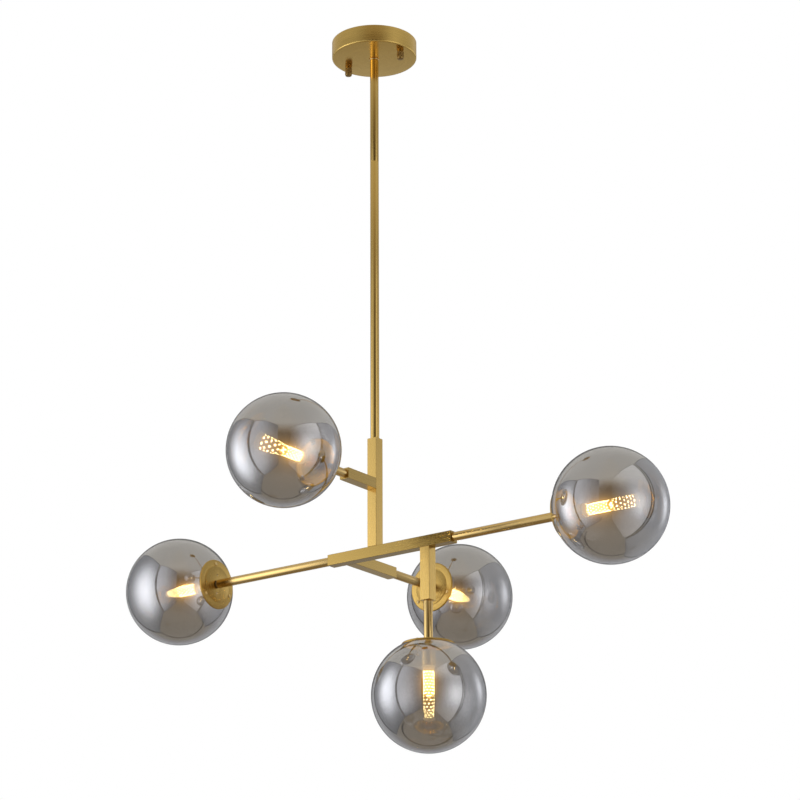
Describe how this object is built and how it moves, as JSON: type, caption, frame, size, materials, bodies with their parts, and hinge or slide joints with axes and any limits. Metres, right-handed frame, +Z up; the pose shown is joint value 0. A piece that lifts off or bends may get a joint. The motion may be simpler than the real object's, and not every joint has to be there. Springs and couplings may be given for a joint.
{
  "type": "branch chandelier",
  "caption": "Ceiling chandelier with a stem, a frame of square brass bars and round arm tubes, and smoked glass globes that pull off small plug-in bulbs.",
  "frame": {"origin": "centre of the ceiling bracket's upper face, on the stem's axis, in the plane of the ceiling", "axes": "+Z up into the ceiling, the lamp hangs towards -Z; +X along the crossbar towards the right arm, which reaches furthest; +Y towards the rear arm, so the upper arm points to -Y"},
  "size_m": [0.865, 0.609, 1.0325],
  "materials": {
    "canopy_brass": "satin brushed around",
    "rod_brass": "fine brushed lengthwise, satin",
    "bar_brass": "fine brushed lengthwise, satin",
    "disc_brass": "brushed in circles",
    "polished_brass": "polished",
    "knurled_brass": "knurled, satin",
    "zinc_steel": "zinc plated",
    "galvanised_steel": "galvanised sheet",
    "spring_steel": "bright spring steel",
    "dark_thread": "dark oiled thread",
    "green_screw": "green painted",
    "lampholder_ceramic": "unglazed white ceramic",
    "bulb_base": "smooth white ceramic",
    "bulb_cover": "clear cover over rows of lit chips",
    "smoked_glass": "smoked, lightly mirrored, glossy",
    "cable": "plastic sheath",
    "connector": "moulded plastic"
  },
  "bodies": {
    "ceiling_mount": {"ceiling_bracket": "galvanised_steel", "canopy_studs": "zinc_steel", "stud_lock_nuts": "zinc_steel", "ground_screw": "green_screw", "canopy": "canopy_brass", "stem_washer": "zinc_steel", "supply_leads": "cable", "wire_connectors": "connector"},
    "lamp_frame": {"stem_nipple": "zinc_steel", "stem_nut": "zinc_steel", "stem_collar": "polished_brass", "upper_rod": "rod_brass", "rod_coupling": "zinc_steel", "lower_rod": "rod_brass", "post_nipple": "zinc_steel", "post": "bar_brass", "crossbar": "bar_brass", "upper_arm_bar": "bar_brass", "rear_arm_bar": "bar_brass", "drop_bar": "bar_brass", "bar_nipples": "zinc_steel", "left_arm_tube": "rod_brass", "right_arm_tube": "rod_brass", "upper_arm_tube": "rod_brass", "rear_arm_tube": "rod_brass", "drop_arm_tube": "rod_brass", "left_shade_holder": "disc_brass", "right_shade_holder": "disc_brass", "upper_shade_holder": "disc_brass", "rear_shade_holder": "disc_brass", "drop_shade_holder": "disc_brass", "holder_nipples": "dark_thread", "holder_nuts": "zinc_steel", "glass_clips": "spring_steel", "clip_screws": "polished_brass", "lampholder_brackets": "zinc_steel", "left_lampholder": "lampholder_ceramic", "right_lampholder": "lampholder_ceramic", "upper_lampholder": "lampholder_ceramic", "rear_lampholder": "lampholder_ceramic", "drop_lampholder": "lampholder_ceramic", "wiring_harness": "cable"},
    "left_glass_globe": {"left_globe": "smoked_glass"},
    "right_glass_globe": {"right_globe": "smoked_glass"},
    "upper_glass_globe": {"upper_globe": "smoked_glass"},
    "rear_glass_globe": {"rear_globe": "smoked_glass"},
    "drop_glass_globe": {"drop_globe": "smoked_glass"},
    "left_led_bulb": {"left_bulb": "bulb_cover", "left_bulb_base": "bulb_base"},
    "right_led_bulb": {"right_bulb": "bulb_cover", "right_bulb_base": "bulb_base"},
    "upper_led_bulb": {"upper_bulb": "bulb_cover", "upper_bulb_base": "bulb_base"},
    "rear_led_bulb": {"rear_bulb": "bulb_cover", "rear_bulb_base": "bulb_base"},
    "drop_led_bulb": {"drop_bulb": "bulb_cover", "drop_bulb_base": "bulb_base"},
    "left_knurled_nut": {"left_canopy_nut": "knurled_brass"},
    "right_knurled_nut": {"right_canopy_nut": "knurled_brass"}
  },
  "joints": [
    {"name": "stem_turn", "type": "hinge", "parent": "ceiling_mount", "child": "lamp_frame", "pos_m": [0, 0, -0.025], "axis": [0, 0, 1], "range_deg": [-170, 170]},
    {"name": "left_globe_pull", "type": "slide", "parent": "lamp_frame", "child": "left_glass_globe", "axis": [-1, 0, 0], "range_m": [0, 0.1]},
    {"name": "right_globe_pull", "type": "slide", "parent": "lamp_frame", "child": "right_glass_globe", "axis": [1, 0, 0], "range_m": [0, 0.1]},
    {"name": "upper_globe_pull", "type": "slide", "parent": "lamp_frame", "child": "upper_glass_globe", "axis": [0, -1, 0], "range_m": [0, 0.1]},
    {"name": "rear_globe_pull", "type": "slide", "parent": "lamp_frame", "child": "rear_glass_globe", "axis": [0, 1, 0], "range_m": [0, 0.1]},
    {"name": "drop_globe_pull", "type": "slide", "parent": "lamp_frame", "child": "drop_glass_globe", "axis": [0, 0, -1], "range_m": [0, 0.1]},
    {"name": "left_bulb_pull", "type": "slide", "parent": "lamp_frame", "child": "left_led_bulb", "axis": [-1, 0, 0], "range_m": [0, 0.02]},
    {"name": "right_bulb_pull", "type": "slide", "parent": "lamp_frame", "child": "right_led_bulb", "axis": [1, 0, 0], "range_m": [0, 0.02]},
    {"name": "upper_bulb_pull", "type": "slide", "parent": "lamp_frame", "child": "upper_led_bulb", "axis": [0, -1, 0], "range_m": [0, 0.02]},
    {"name": "rear_bulb_pull", "type": "slide", "parent": "lamp_frame", "child": "rear_led_bulb", "axis": [0, 1, 0], "range_m": [0, 0.02]},
    {"name": "drop_bulb_pull", "type": "slide", "parent": "lamp_frame", "child": "drop_led_bulb", "axis": [0, 0, -1], "range_m": [0, 0.02]},
    {"name": "left_nut_off", "type": "slide", "parent": "ceiling_mount", "child": "left_knurled_nut", "axis": [0, 0, -1], "range_m": [0, 0.012]},
    {"name": "right_nut_off", "type": "slide", "parent": "ceiling_mount", "child": "right_knurled_nut", "axis": [0, 0, -1], "range_m": [0, 0.012]}
  ]
}
